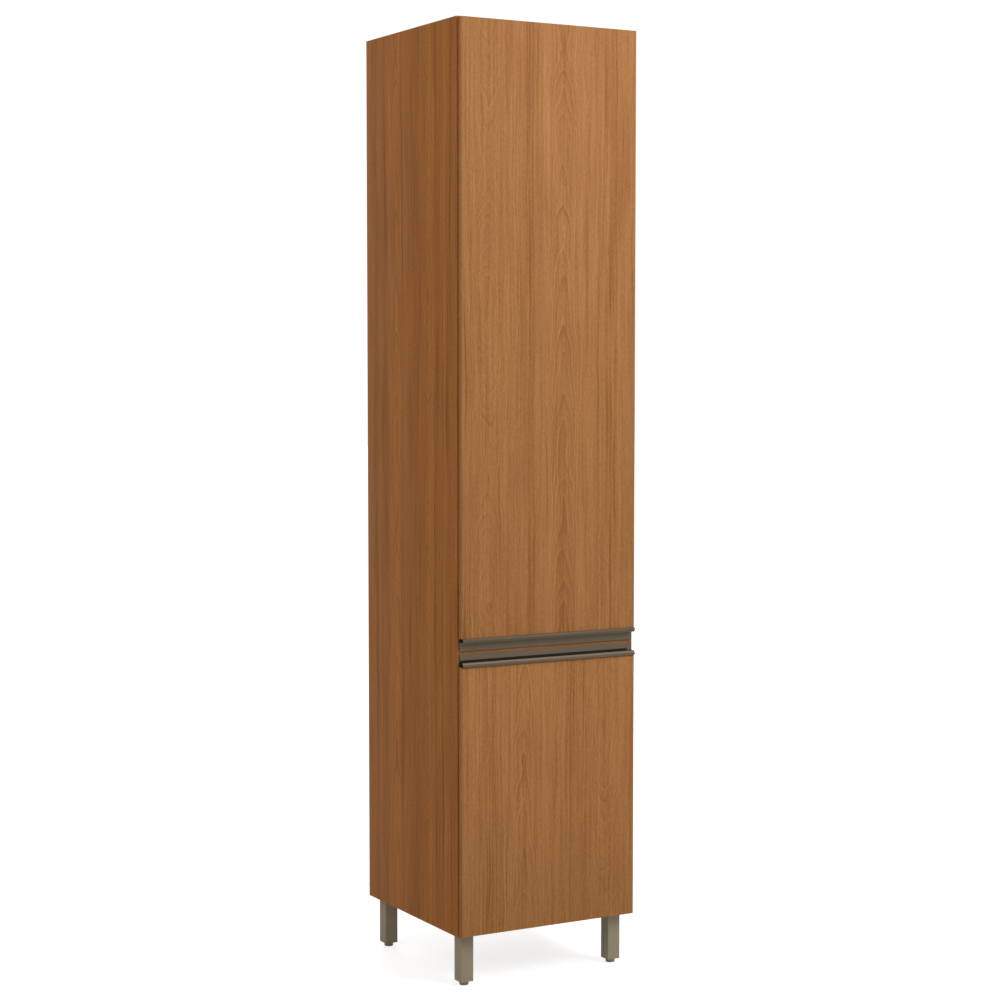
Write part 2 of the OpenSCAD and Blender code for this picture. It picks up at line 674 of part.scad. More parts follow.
module at_legs() for (sx = [-1, 1], sy = [-1, 1]) at_corner(sx, sy) children();
module at_leg_screws() for (x = leg_screw_xs, y = leg_screw_ys) translate([x, y, 0]) children();

module leg() color(champagne) difference() {
    union() {
        translate([leg_mid, leg_mid, -leg_len]) linear_extrude(leg_len - leg_plate_t) rounded_square(leg_w, leg_round);
        translate([leg_inset, leg_inset - leg_plate_side, -leg_plate_t])
            cube([leg_w + leg_plate_lip, leg_w + 2 * leg_plate_side, leg_plate_t]);
    }
    translate([leg_mid, leg_mid, -leg_len - eps]) linear_extrude(leg_len - leg_plate_t + eps)
        square(leg_w - 2 * leg_wall, center = true);
    translate([0, 0, -leg_plate_t - eps]) at_leg_screws() cylinder(r = leg_screw_r + clear, h = leg_plate_t + 2 * eps);
}

module leg_front_left() at_corner(-1, -1) leg();
module leg_front_right() at_corner(1, -1) leg();
module leg_back_left() at_corner(-1, 1) leg();
module leg_back_right() at_corner(1, 1) leg();

module leg_screws() color(steel) at_legs() translate([0, 0, -leg_plate_t]) at_leg_screws()
    screw(leg_screw_r, leg_screw_len, 3.8, leg_screw_head_h);

module leg_inserts() color(black) at_legs() translate([leg_mid, leg_mid, -leg_len]) difference() {
    linear_extrude(insert_len) square(leg_w - 2 * leg_wall - 2 * clear, center = true);
    hole(stud_r + clear, insert_len + 1);
}

// Levelling foot: a round metal pad on a threaded steel stud
module foot_at(sx, sy) color(champagne) at_corner(sx, sy) translate([leg_mid, leg_mid, -leg_len - foot_h]) difference() {
    rotate_extrude() polygon([
        [0, 0], [foot_r - 1.5, 0], [foot_r - 0.5, 1.5], [foot_r - 0.5, foot_h - 3],
        [foot_r, foot_h - 2], [foot_r, foot_h - seat_gap], [0, foot_h - seat_gap]
    ]);
    translate([0, 0, foot_h - seat_gap - foot_socket]) cylinder(r = stud_r, h = foot_socket + 1);
}

module stud_at(sx, sy) color(steel) at_corner(sx, sy)
    translate([leg_mid, leg_mid, -leg_len - seat_gap - foot_socket])
        cylinder(r = stud_r, h = foot_socket + seat_gap + stud_reach);

module foot_front_left() foot_at(-1, -1);
module foot_front_right() foot_at(1, -1);
module foot_back_left() foot_at(-1, 1);
module foot_back_right() foot_at(1, 1);
module stud_front_left() stud_at(-1, -1);
module stud_front_right() stud_at(1, -1);
module stud_back_left() stud_at(-1, 1);
module stud_back_right() stud_at(1, 1);

side_left();
side_right();
top_panel();
bottom_panel();
fixed_shelf();
upper_back();
lower_back();
back_strip();
back_nails();
hanging_rail();
wall_brackets();
bracket_screws();
shelf_1();
shelf_2();
shelf_3();
shelf_lower();
shelf_pins();
cam_bolts();
cam_locks();
dowels();
hinge_plates();
plate_screws();
hinge_arms();
arm_screws();
leg_front_left();
leg_front_right();
leg_back_left();
leg_back_right();
leg_screws();
leg_inserts();
foot_front_left();
foot_front_right();
foot_back_left();
foot_back_right();
stud_front_left();
stud_front_right();
stud_back_left();
stud_back_right();
upper_door();
upper_handle();
upper_cap_left();
upper_cap_right();
upper_handle_screws();
upper_hinge_cups();
upper_hinge_pins();
upper_cup_screws();
upper_bumpers();
lower_door();
lower_handle();
lower_liner();
lower_cap_left();
lower_cap_right();
lower_handle_screws();
lower_hinge_cups();
lower_hinge_pins();
lower_cup_screws();
lower_bumpers();
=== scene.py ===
"""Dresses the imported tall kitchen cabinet: camera, studio, finishes and detailed fittings."""
import json
import math

import bmesh
import bpy
from mathutils import Matrix, Vector


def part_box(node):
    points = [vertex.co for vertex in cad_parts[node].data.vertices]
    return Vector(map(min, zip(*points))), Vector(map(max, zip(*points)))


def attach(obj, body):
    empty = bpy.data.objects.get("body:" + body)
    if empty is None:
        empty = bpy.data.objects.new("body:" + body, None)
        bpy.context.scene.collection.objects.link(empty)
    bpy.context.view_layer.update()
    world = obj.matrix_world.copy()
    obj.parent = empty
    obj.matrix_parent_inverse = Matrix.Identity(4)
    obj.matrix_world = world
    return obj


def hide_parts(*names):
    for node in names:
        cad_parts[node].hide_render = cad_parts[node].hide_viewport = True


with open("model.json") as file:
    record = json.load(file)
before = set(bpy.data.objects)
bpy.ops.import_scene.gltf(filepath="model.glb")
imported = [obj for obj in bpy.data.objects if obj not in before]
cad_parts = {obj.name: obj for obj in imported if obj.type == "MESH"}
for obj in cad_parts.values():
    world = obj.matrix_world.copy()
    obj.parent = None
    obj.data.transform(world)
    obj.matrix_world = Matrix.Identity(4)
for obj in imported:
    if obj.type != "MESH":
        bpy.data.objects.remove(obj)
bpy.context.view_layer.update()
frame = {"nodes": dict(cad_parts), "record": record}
nodes = frame["nodes"]
MM = 0.001
DOORS = ("upper", "lower")
CORNERS = ("front_left", "front_right", "back_left", "back_right")


# Finishes

class Finish:
    """A node material being mixed for one of the cabinet's surfaces."""

    def __init__(self, name, **look):
        self.material = bpy.data.materials.new(name)
        self.material.use_nodes = True
        self.tree = self.material.node_tree
        self.shader = self.tree.nodes["Principled BSDF"]
        for socket, value in look.items():
            self.shader.inputs[socket.replace("_", " ")].default_value = value
        self.point = self.tree.nodes.new("ShaderNodeTexCoord").outputs
        self.place = self.point["Object"]

    def add(self, kind, sockets, **settings):
        made = self.tree.nodes.new("ShaderNode" + kind)
        for name, value in settings.items():
            setattr(made, name, value)
        for socket, value in sockets.items():
            if isinstance(value, bpy.types.NodeSocket):
                self.tree.links.new(value, made.inputs[socket])
            else:
                made.inputs[socket].default_value = value
        return made

    def math(self, operation, first, second=0.0, third=0.0):
        return self.add("Math", {0: first, 1: second, 2: third}, operation=operation).outputs[0]

    def plus(self, first, second):
        return self.math("ADD", first, second)

    def minus(self, first, second):
        return self.math("SUBTRACT", first, second)

    def times(self, first, second, extra=0.0):
        return self.math("MULTIPLY_ADD", first, second, extra)

    def noise(self, vector, scales, detail=2.0, roughness=0.5):
        """Soft random values. Scales are how many changes there are in a metre along each axis."""
        stretched = self.add("VectorMath", {0: vector, 1: scales}, operation="MULTIPLY").outputs[0]
        sockets = {"Vector": stretched, "Scale": 1.0, "Detail": detail, "Roughness": roughness}
        return self.add("TexNoise", sockets).outputs["Fac"]

    def steps(self, distance, scale, detail):
        """Soft random values along one distance."""
        sockets = {"W": distance, "Scale": scale, "Detail": detail, "Roughness": 0.5}
        return self.add("TexNoise", sockets, noise_dimensions="1D").outputs["Fac"]

    def spread(self, value, low, high, to_low=0.0, to_high=1.0):
        sockets = {"Value": value, "From Min": low, "From Max": high, "To Min": to_low, "To Max": to_high}
        return self.add("MapRange", sockets).outputs[0]

    def blend(self, share, first, second, how="MIX"):
        colours = {0: share, 6: first, 7: second}
        return self.add("Mix", colours, data_type="RGBA", blend_type=how).outputs[2]

    def paint(self, socket, value):
        self.tree.links.new(value, self.shader.inputs[socket])

    def relief(self, height, depth):
        bump = self.add("Bump", {"Height": height, "Distance": depth, "Strength": 1.0})
        self.paint("Normal", bump.outputs["Normal"])


def tone(red, green, blue):
    """A linear colour from the 0 to 255 values of a screen colour."""
    return tuple(((c / 255 + 0.055) / 1.055) ** 2.4 for c in (red, green, blue)) + (1.0,)


def shaded(colour, share, more=0.0):
    """A darker or lighter version of a colour."""
    return tuple(min(1.0, c * share + more) for c in colour[:3]) + (1.0,)


def wood(name, colours, across, along, arches, flame, turn, period, seed, bands=(), figure=1.0, edge=None):
    """Wood-grain laminate with straight streaks and two columns of figure along the grain.

    Across and along are the axes of the board's width and of its grain. Narrow arches are stacked in one
    column. In the other the lines nest to one side and then to the other: they point along the grain at the
    height of turn, and against it half a period further on. Bands are straight stripes, each with its place,
    its half width and how much lighter or darker it is. Edge tints the band on the edge that faces the front:
    partly the edge band's own tone, and partly painted light that makes the edge lighter and more orange to
    make up for the shade on the front edges, as in the narrow gap between the handles.
    """
    pale, dark, red = colours
    f = Finish(name, Roughness=0.55, Specular_IOR_Level=0.03)
    split = f.add("SeparateXYZ", {0: f.place}).outputs
    depth = split[3 - across - along]
    rise = split[along]
    girth = f.plus(split[across], depth)
    unrolled = f.add("CombineXYZ", {0: girth, 1: depth, 2: rise}).outputs[0]
    place = f.add("VectorMath", {0: unrolled, 1: (seed, seed, seed)}, operation="ADD").outputs[0]

    def wobble(scales, amount, detail=1.0):
        return f.times(f.minus(f.noise(place, scales, detail), 0.5), amount)

    slow, quick = wobble((3, 3, 1.5), 0.014), wobble((40, 40, 9), 0.010)
    shifted = f.plus(girth, f.plus(slow, quick))
    fade = f.spread(f.noise(place, (30, 30, 4)), 0.35, 0.65, 0.35, 1)

    def column(middle, reach, pull, widening, sway, strength):
        """Light lines with a dark inner side, nested about one line along the grain, and where they lie.

        A line runs where the field is a whole number. The field grows away from the middle, first like a cone
        with a rounded tip and further out like a bowl, and the pull moves it along the grain.
        """
        tip, cone, bowl, tilt = 0.0015, 26, 600, 9
        lean = f.plus(f.minus(shifted, middle), wobble((5, 5, 13), sway))
        away = f.math("ABSOLUTE", lean)
        square = f.times(away, away)
        rounded = f.math("SQRT", f.plus(square, tip ** 2))
        field = f.times(rounded, cone, f.times(square, bowl))
        field = f.times(f.times(square, square), widening, field)
        field = f.times(lean, tilt, field)
        field = f.plus(f.plus(field, pull), wobble((25, 25, 8), 0.5, 2))
        steepness = f.times(away, 2 * bowl, cone)
        steepness = f.times(f.times(square, away), 4 * widening, steepness)
        ring = f.math("FRACT", field)
        nearest = f.math("MINIMUM", ring, f.minus(1.0, ring))
        light = f.spread(f.math("DIVIDE", nearest, steepness), 0.8 * MM, 2.8 * MM, 1, 0)
        inside = f.spread(ring, 0.45, 0.95)
        clear = f.spread(f.steps(f.math("FLOOR", field), 0.73, 0), 0.3, 0.7, 0.2 * strength, strength)
        drawn = f.minus(f.times(light, 0.36), f.times(inside, 0.34))
        held = f.spread(away, reach * 0.5, reach, 1, 0)
        return f.times(f.times(drawn, clear), held), held

    stacked = f.times(f.steps(rise, 6, 1), 2.4, f.times(rise, 10.8))
    arched, arched_held = column(arches, 64 * MM, stacked, 7e5, 0.012, 1.0)
    angle = f.times(rise, math.tau / period, -math.tau * turn / period)
    swing = f.times(f.math("SINE", angle), 32 * period / math.tau, wobble((9, 9, 10), 3.4))
    nested, nested_held = column(flame, 56 * MM, swing, 5e5, 0.024, 0.6)
    held = f.math("MAXIMUM", arched_held, nested_held)

    straight = f.add("CombineXYZ", {0: shifted, 1: depth, 2: rise}).outputs[0]
    stripe = f.spread(f.noise(straight, (150, 150, 1.6), 1), 0.36, 0.44, 1, 0)
    dark_streak = f.times(stripe, f.times(held, -0.5, 1.0))
    fibre = f.noise(place, (1300, 1300, 24))
    pores = f.noise(place, (480, 480, 120), 1)
    streak = f.noise(straight, (260, 260, 4))
    zone = f.noise(place, (24, 24, 1.4))

    mid_tone = -0.53
    value = f.times(f.plus(arched, nested), figure, mid_tone)
    value = f.times(f.times(dark_streak, fade), -0.30, value)
    for share, part in ((0.50, fibre), (0.66, pores), (0.86, streak), (0.12, zone)):
        value = f.times(part, share, value)
    for middle, half_width, strength in bands:
        gap = f.math("ABSOLUTE", f.minus(shifted, middle))
        value = f.times(f.spread(gap, 0, half_width, strength, 0), fade, value)
    cloud = f.spread(f.noise(place, (12, 12, 3)), 0.50, 0.75, 0, 0.30)
    colour = f.blend(cloud, f.blend(value, dark, pale), red)
    # Painted light: the front-facing edges are made lighter and more orange than the band is, to make up for
    # the shade on them.
    if edge:
        forward = f.times(f.add("SeparateXYZ", {0: f.point["Normal"]}).outputs["Y"], -1)
        colour = f.blend(f.spread(forward, 0.6, 0.8), colour, f.blend(1.0, colour, edge, "MULTIPLY"))
    f.paint("Base Color", colour)
    f.relief(f.times(fibre, 0.5, f.times(dark_streak, -0.5)), 0.05 * MM)
    return f.material


LAMINATE = (tone(190, 135, 85), tone(142, 91, 48), tone(150, 92, 56))
# The side panel has the doors' laminate. These tones are a copy of it, more orange and less blue, matched to
# how the side looks in its shade: painted shade.
SIDE_LAMINATE_TINTED_FOR_SHADE = (tone(204, 134, 73), tone(143, 88, 43), tone(155, 92, 52))
BEECH = (tone(222, 186, 140), tone(190, 146, 98), tone(205, 160, 112))
# Front edge band tint: partly the band's own tone, partly painted light that lightens the edge against the
# shade in the narrow gaps in front of it.
EDGE_BAND_WITH_PAINTED_LIGHT = (1.42, 1.18, 0.92, 1.0)
door_low, door_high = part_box("upper_door")


def on_door(share):
    """Place across the doors' fronts in their grain, from a share of the doors' width."""
    return door_low.x + share * (door_high.x - door_low.x) + door_low.y


def door_wood(name, arches, flame, turn, period, seed, bands):
    placed = [(on_door(share), half_width, strength) for share, half_width, strength in bands]
    return wood(name, LAMINATE, 0, 2, on_door(arches), on_door(flame), turn, period, seed, placed)


upper_wood = door_wood("upper door laminate", 0.58, 0.16, 1.844, 0.733, 1.0, (
    (0.03, 0.003, -0.35), (0.055, 0.003, -0.30), (0.39, 0.02, -0.16), (0.385, 0.003, -0.30),
    (0.405, 0.003, -0.25), (0.86, 0.02, -0.10), (0.85, 0.003, -0.30), (0.875, 0.003, -0.25),
    (0.30, 0.04, 0.05), (0.475, 0.03, 0.05), (0.74, 0.03, 0.04)))
lower_wood = door_wood("lower door laminate", 0.35, 0.83, 0.988, 1.4, 5.0, (
    (0.15, 0.02, -0.10), (0.14, 0.003, -0.30), (0.17, 0.003, -0.30), (0.27, 0.003, -0.30),
    (0.62, 0.003, -0.25), (0.64, 0.003, -0.35), (0.71, 0.003, -0.30), (0.67, 0.02, -0.10),
    (0.50, 0.04, 0.08), (0.06, 0.03, 0.10)))
# The side's laminate tones carry painted shade, so the side looks shaded beside the doors under any light.
side_wood = wood("side laminate tinted for shade", SIDE_LAMINATE_TINTED_FOR_SHADE, 1, 2, -0.16, -0.33, 1.9, 0.8, 7.0, (
    (-0.05, 0.012, -0.30), (-0.10, 0.022, -0.28), (-0.195, 0.012, -0.24), (-0.28, 0.035, -0.18),
    (-0.375, 0.012, -0.24), (-0.165, 0.025, 0.22), (-0.06, 0.008, 0.20), (-0.34, 0.012, 0.15),
    (-0.42, 0.008, 0.25), (-0.04, 0.04, -0.08), (-0.15, 0.05, 0.10), (-0.255, 0.04, -0.14),
    (-0.345, 0.035, 0.13), (-0.45, 0.03, -0.10)))
board_wood = wood("cross board laminate", LAMINATE, 1, 0, 0.02, -0.18, 0.1, 0.6, 11.0, edge=EDGE_BAND_WITH_PAINTED_LIGHT)
inner_wood = wood("shelf laminate", LAMINATE, 1, 0, -0.05, 0.17, -0.1, 0.6, 15.0, edge=EDGE_BAND_WITH_PAINTED_LIGHT)
beech = wood("beech dowel", BEECH, 1, 0, 0.0, 0.2, 0.0, 0.6, 19.0, figure=0.5)


def metal(name, colour, roughness, run, metallic, specular=0.5):
    """Satin metal with fine lines along one axis."""
    f = Finish(name, Metallic=metallic, Specular_IOR_Level=specular)
    scales = [900.0, 900.0, 900.0]
    scales[run] = 6.0
    lines = f.noise(f.place, scales)
    cloud = f.noise(f.place, (30, 30, 30), 1)
    shade = f.spread(f.times(lines, 0.6, f.times(cloud, 0.4)), 0.3, 0.7)
    f.paint("Base Color", f.blend(shade, shaded(colour, 0.86), colour))
    f.paint("Roughness", f.spread(lines, 0.3, 0.7, roughness - 0.05, roughness + 0.06))
    f.relief(lines, 0.02 * MM)
    return f.material


def plastic(name, colour, roughness):
    """Moulded plastic with a faint grained skin."""
    f = Finish(name, Specular_IOR_Level=0.06)
    grain = f.noise(f.place, (1800, 1800, 1800))
    f.paint("Base Color", f.blend(f.spread(grain, 0.3, 0.7), colour, shaded(colour, 1.3, 0.002)))
    f.paint("Roughness", f.spread(grain, 0.3, 0.7, roughness - 0.06, roughness + 0.06))
    f.relief(grain, 0.03 * MM)
    return f.material


def fibreboard(name, colour):
    """Hard fibreboard with a felted face."""
    f = Finish(name, Roughness=0.75)
    fibres = f.noise(f.place, (500, 500, 140), 4, 0.7)
    flecks = f.noise(f.place, (90, 90, 60), 3, 0.65)
    shade = f.spread(f.times(fibres, 0.6, f.times(flecks, 0.4)), 0.3, 0.7)
    f.paint("Base Color", f.blend(shade, shaded(colour, 0.66), colour))
    f.relief(fibres, 0.1 * MM)
    return f.material


by_slot = {
    "side_wood": side_wood,
    "inner_board": inner_wood,
    "back_board": fibreboard("fibreboard", tone(178, 136, 96)),
    "bronze_aluminium": metal("bronze anodised aluminium", tone(103, 89, 73), 0.55, 0, 0.5, 0.2),
    "leg_aluminium": metal("champagne anodised aluminium", tone(168, 156, 131), 0.6, 2, 0.15, 0.06),
    "black_plastic": plastic("black moulded plastic", tone(2, 2, 2), 0.7),
    "bright_steel": metal("nickel plated steel", tone(208, 208, 208), 0.36, 2, 0.9),
    "zinc": metal("zinc plated steel", tone(196, 192, 178), 0.42, 2, 0.9),
    "beech": beech,
    "clear_rubber": plastic("clear bumper", tone(214, 216, 212), 0.3),
}
by_node = {
    "upper_door": upper_wood,
    "lower_door": lower_wood,
    "top_panel": board_wood,
    "bottom_panel": board_wood,
    "fixed_shelf": board_wood,
    # The liner is a dark strip coloured like the shaded bronze inside the lower channel: painted shade
    # standing in for the channel's shadow.
    "lower_liner": plastic("dark liner", tone(36, 31, 24), 0.6),
}
slot_of = {part["node"]: part["material_slot"] for part in frame["record"]["subparts"]}
body_of = {name: body for body, held in frame["record"]["behaviour"]["bodies"].items() for name in held}


def finish_of(node):
    return by_node.get(node) or by_slot[slot_of[node]]


for name, node in nodes.items():
    node.data.materials.clear()
    node.data.materials.append(finish_of(name))


# Making and placing pieces

def joined(node):
    """The node's mesh with its loose triangles joined."""
    shape = bmesh.new()
    shape.from_mesh(nodes[node].data)
    bmesh.ops.remove_doubles(shape, verts=shape.verts, dist=0.01 * MM)
    return shape


def solids(node):
    """The lowest and highest corners of each separate solid in a node."""
    shape = joined(node)
    left = set(shape.verts)
    boxes = []
    while left:
        group = {left.pop()}
        waiting = list(group)
        while waiting:
            for edge in waiting.pop().link_edges:
                for vert in edge.verts:
                    if vert in left:
                        left.discard(vert)
                        group.add(vert)
                        waiting.append(vert)
        low = Vector([min(vert.co[i] for vert in group) for i in range(3)])
        high = Vector([max(vert.co[i] for vert in group) for i in range(3)])
        boxes.append((low, high))
    shape.free()
    return sorted(boxes, key=lambda box: tuple(box[0]))


def publish(name, shape, node):
    """Makes the finished piece from its mesh, in place of the node. Edges sharper than 35 degrees show."""
    for face in shape.faces:
        face.smooth = True
    for edge in shape.edges:
        edge.smooth = len(edge.link_faces) == 2 and edge.calc_face_angle(0) < math.radians(35)
    mesh = bpy.data.meshes.new(name)
    shape.to_mesh(mesh)
    shape.free()
    mesh.materials.append(finish_of(node))
    piece = bpy.data.objects.new(name, mesh)
    bpy.context.scene.collection.objects.link(piece)
    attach(piece, body_of[node])
    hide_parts(node)


def turned(outline, shape=None):
    """Spins an outline of (radius, height) points about Z into a closed body."""
    shape = shape or bmesh.new()
    verts = [shape.verts.new((radius, 0, height)) for radius, height in outline]
    edges = [shape.edges.new(pair) for pair in zip(verts, verts[1:])]
    bmesh.ops.spin(shape, geom=verts + edges, cent=(0, 0, 0), axis=(0, 0, 1), angle=math.tau, steps=24,
                   use_merge=True)
    return shape


def closed(shape):
    """Joins points that lie together and turns the faces outwards."""
    bmesh.ops.remove_doubles(shape, verts=shape.verts, dist=0.001 * MM)
    bmesh.ops.recalc_face_normals(shape, faces=shape.faces)
    return shape


def stand(axis, place):
    """Turns +Z of a small part towards an axis and moves it to its place."""
    return Matrix.Translation(place) @ Vector(axis).to_track_quat("Z", "Y").to_matrix().to_4x4()


def measured(node, axis):
    """Length and radius of a node's solids, which are alike, and a stand at the start of each."""
    along = [abs(a) for a in axis].index(1)
    across = (along + 1) % 3
    stands = []
    for low, high in solids(node):
        start = (low + high) / 2
        start[along] = low[along] if axis[along] > 0 else high[along]
        stands.append(stand(axis, start))
    return high[along] - low[along], (high[across] - low[across]) / 2, stands


def gather(pattern, stands):
    """Copies a small part to each place into one mesh."""
    sample = bpy.data.meshes.new("sample")
    pattern.to_mesh(sample)
    pattern.free()
    shape = bmesh.new()
    for placed in stands:
        before = len(shape.verts)
        shape.from_mesh(sample)
        shape.verts.ensure_lookup_table()
        bmesh.ops.transform(shape, matrix=placed, verts=shape.verts[before:])
    bpy.data.meshes.remove(sample)
    return shape


# Screws

def ridges(outer, inner, start, pitch, count):
    """The outline of a thread's ridges along a shank."""
    return [(radius, start + pitch * (k + share)) for k in range(count)
            for radius, share in ((inner, 0.1), (outer, 0.5), (inner, 0.9))]


def screw_shape(shank_r, length, head_r, head_h, pitch):
    """A screw along +Z with its seat at 0: a domed head below with a cross recess, and a thread above."""
    head = [(0.62, 1), (0.80, 0.92), (0.94, 0.66), (1, 0.30), (1, 0)]
    outline = [(head_r * radius, -head_h * height) for radius, height in head] + [(shank_r * 0.8, 0)]
    thread_end = length - shank_r
    turns = int(thread_end / pitch)
    outline += ridges(shank_r, shank_r * 0.78, thread_end - turns * pitch, pitch, turns)
    outline += [(shank_r * 0.7, thread_end), (0.0, length)]
    shape = turned(outline)
    arm, half = head_r * 0.55, head_r * 0.13
    corners = []
    for k in range(4):
        for x, y in ((arm, -half), (arm, half), (half, half)):
            corners.append(Matrix.Rotation(k * math.pi / 2, 3, "Z") @ Vector((x, y, -head_h)))
    cross = [shape.verts.new(place) for place in corners]
    cross_edges = [shape.edges.new((cross[k - 1], cross[k])) for k in range(len(cross))]
    rim = [edge for edge in shape.edges
           if edge.is_boundary and all(vert.co.z < -head_h * 0.99 for vert in edge.verts)]
    bmesh.ops.bridge_loops(shape, edges=cross_edges + rim)
    sunk = bmesh.ops.extrude_edge_only(shape, edges=cross_edges)["geom"]
    recess_verts = [part for part in sunk if isinstance(part, bmesh.types.BMVert)]
    recess_edges = [part for part in sunk if isinstance(part, bmesh.types.BMEdge)]
    bmesh.ops.translate(shape, verts=recess_verts, vec=(0, 0, head_h * 0.62))
    bmesh.ops.scale(shape, verts=recess_verts, vec=(0.8, 0.8, 1))
    bmesh.ops.contextual_create(shape, geom=recess_edges)
    return closed(shape)


def screws(name, node, axis, head_h, shank_r, pitch):
    """Replaces a node's plain screws. Sizes are in millimetres, and the head is at the start of the axis."""
    length, head_r, stands = measured(node, axis)
    shape = screw_shape(shank_r * MM, length - head_h * MM, head_r, head_h * MM, pitch * MM)
    bmesh.ops.translate(shape, verts=shape.verts, vec=(0, 0, head_h * MM))
    publish(name, gather(shape, stands), node)


screws("screws_in_arms", "arm_screws", (1, 0, 0), 1.6, 2, 0.7)
screws("screws_in_plates", "plate_screws", (1, 0, 0), 1.8, 1.9, 1.4)
screws("screws_in_brackets", "bracket_screws", (0, 0, 1), 2, 1.75, 1.4)
screws("screws_in_leg_plates", "leg_screws", (0, 0, 1), 2, 2, 1.4)
for door, up in zip(DOORS, (1, -1)):
    screws("screws_in_%s_handle" % door, door + "_handle_screws", (0, 0, up), 1.8, 1.75, 1.4)
    screws("screws_in_%s_cups" % door, door + "_cup_screws", (0, -1, 0), 1.4, 1.75, 1.4)


# Boards, profiles and pressings

def ease(node, width, shortest=0, segments=2):
    """Rounds the sharp edges of a solid a little, as a finished board, profile or pressing has them.

    Sizes are in millimetres. Edges shorter than the shortest, such as the rims of bores, stay sharp, except
    at the solid's corners.
    """
    low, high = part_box(node)

    def at_corner(vert):
        return all(min(vert.co[i] - low[i], high[i] - vert.co[i]) < 8 * MM for i in range(3))

    shape = joined(node)
    bmesh.ops.dissolve_degenerate(shape, edges=shape.edges, dist=0.01 * MM)
    chosen = []
    for edge in shape.edges:
        if len(edge.link_faces) != 2 or edge.calc_face_angle(0) < math.radians(50):
            continue
        if edge.calc_length() >= shortest * MM or all(at_corner(vert) for vert in edge.verts):
            chosen.append(edge)
    bmesh.ops.bevel(shape, geom=chosen, offset=width * MM, offset_type="OFFSET", segments=segments,
                    profile=0.5, affect="EDGES", clamp_overlap=False, material=-1)
    publish(node + "_finished", shape, node)


for door in DOORS:
    ease(door + "_door", 0.8, 12, 3)
for name in ("side_left", "side_right", "top_panel", "bottom_panel", "fixed_shelf", "hanging_rail",
             "shelf_1", "shelf_2", "shelf_3", "shelf_lower"):
    ease(name, 0.5, 12)
for door in DOORS:
    ease(door + "_back", 0.3, 12)
for name in ("upper_handle", "lower_handle", "lower_liner", "back_strip"):
    ease(name, 0.25, 12)
for corner in CORNERS:
    ease("leg_" + corner, 0.4)
for name in ("leg_inserts", "wall_brackets"):
    ease(name, 0.4, 12)
for name in ("hinge_arms", "hinge_plates", "upper_hinge_cups", "lower_hinge_cups"):
    ease(name, 0.2)
for name in ("upper_cap_left", "upper_cap_right", "lower_cap_left", "lower_cap_right"):
    ease(name, 0.2)
for corner in CORNERS:
    ease("foot_" + corner, 0.3)
ease("cam_locks", 0.3)


# Turned fittings

def lathed(name, node, axis, outline_of):
    """Replaces each solid of a node by a body turned about an axis through its middle.

    outline_of takes the solid's length and radius and gives (radius, height) points from end to end.
    """
    length, radius, stands = measured(node, axis)
    publish(name, gather(closed(turned(outline_of(length, radius))), stands), node)


def nail(length, head_r):
    """A nail with its domed head at the start."""
    shank_r = 0.8 * MM
    return [(0, 0), (head_r * 0.5, 0.06 * MM), (head_r * 0.85, 0.2 * MM), (head_r, 0.45 * MM),
            (head_r, 0.6 * MM), (shank_r, 0.6 * MM), (shank_r, length - 2 * MM), (0, length)]


def bumper(height, radius):
    """A soft lens-shaped pad."""
    side = height * 0.25
    turns = [k * math.pi / 12 for k in range(1, 7)]
    dome = [(radius * math.cos(turn), side + (height - side) * math.sin(turn)) for turn in turns]
    return [(0, 0), (radius, 0), (radius, side)] + dome


def hinge_pin(length, radius):
    """A pin with rounded ends."""
    end = [(radius * 0.7, 0), (radius * 0.93, 0.1 * MM), (radius, 0.4 * MM)]
    return [(0, 0)] + end + [(r, length - height) for r, height in reversed(end)] + [(0, length)]


lathed("domed_nails", "back_nails", (0, -1, 0), nail)
for door in DOORS:
    lathed("pads_on_%s_door" % door, door + "_bumpers", (0, 1, 0), bumper)


def in_sides(name, node, reach, outline):
    """Replaces the fittings in both side panels by turned bodies.

    The outline is in millimetres, with the board's face at 0, and reaches as far as reach into the board.
    """
    shape = closed(turned([(radius * MM, height * MM) for radius, height in outline]))
    stands = []
    for low, high in solids(node):
        place = (low + high) / 2
        side = 1 if place.x > 0 else -1
        place.x = high.x - reach * MM if side > 0 else low.x + reach * MM
        stands.append(stand((side, 0, 0), place))
    publish(name, gather(shape, stands), node)


pin = [(0, -9), (2.8, -9), (3.6, -8.75), (4, -8.2), (4, -2.4), (3.52, -2.2), (3.52, -1.8), (4, -1.6),
       (4, -0.1), (3.84, 0), (2.5, 0), (2.5, 7.4), (1.75, 8), (0, 8)]
bolt = [(0, -26), (2.6, -26), (3.3, -25.5), (3.3, -24.2), (2.6, -23.5), (2, -23.5), (2, -16.8), (3.2, -16.8),
        (3.5, -16.5), (3.5, -0.4), (3.2, 0)] + ridges(2.5, 1.9, 0, 1.6, 6) + [(1.7, 10.5), (0, 10.5)]
dowel = [(0, -19.5), (3.2, -19.5), (4, -18.3), (4, 9.3), (3.2, 10.5), (0, 10.5)]
in_sides("pins_under_shelves", "shelf_pins", 8, pin)
in_sides("bolts_in_sides", "cam_bolts", 10.5, bolt)
in_sides("dowels_in_sides", "dowels", 10.5, dowel)
for door in DOORS:
    lathed("pins_in_%s_hinges" % door, door + "_hinge_pins", (0, 0, 1), hinge_pin)


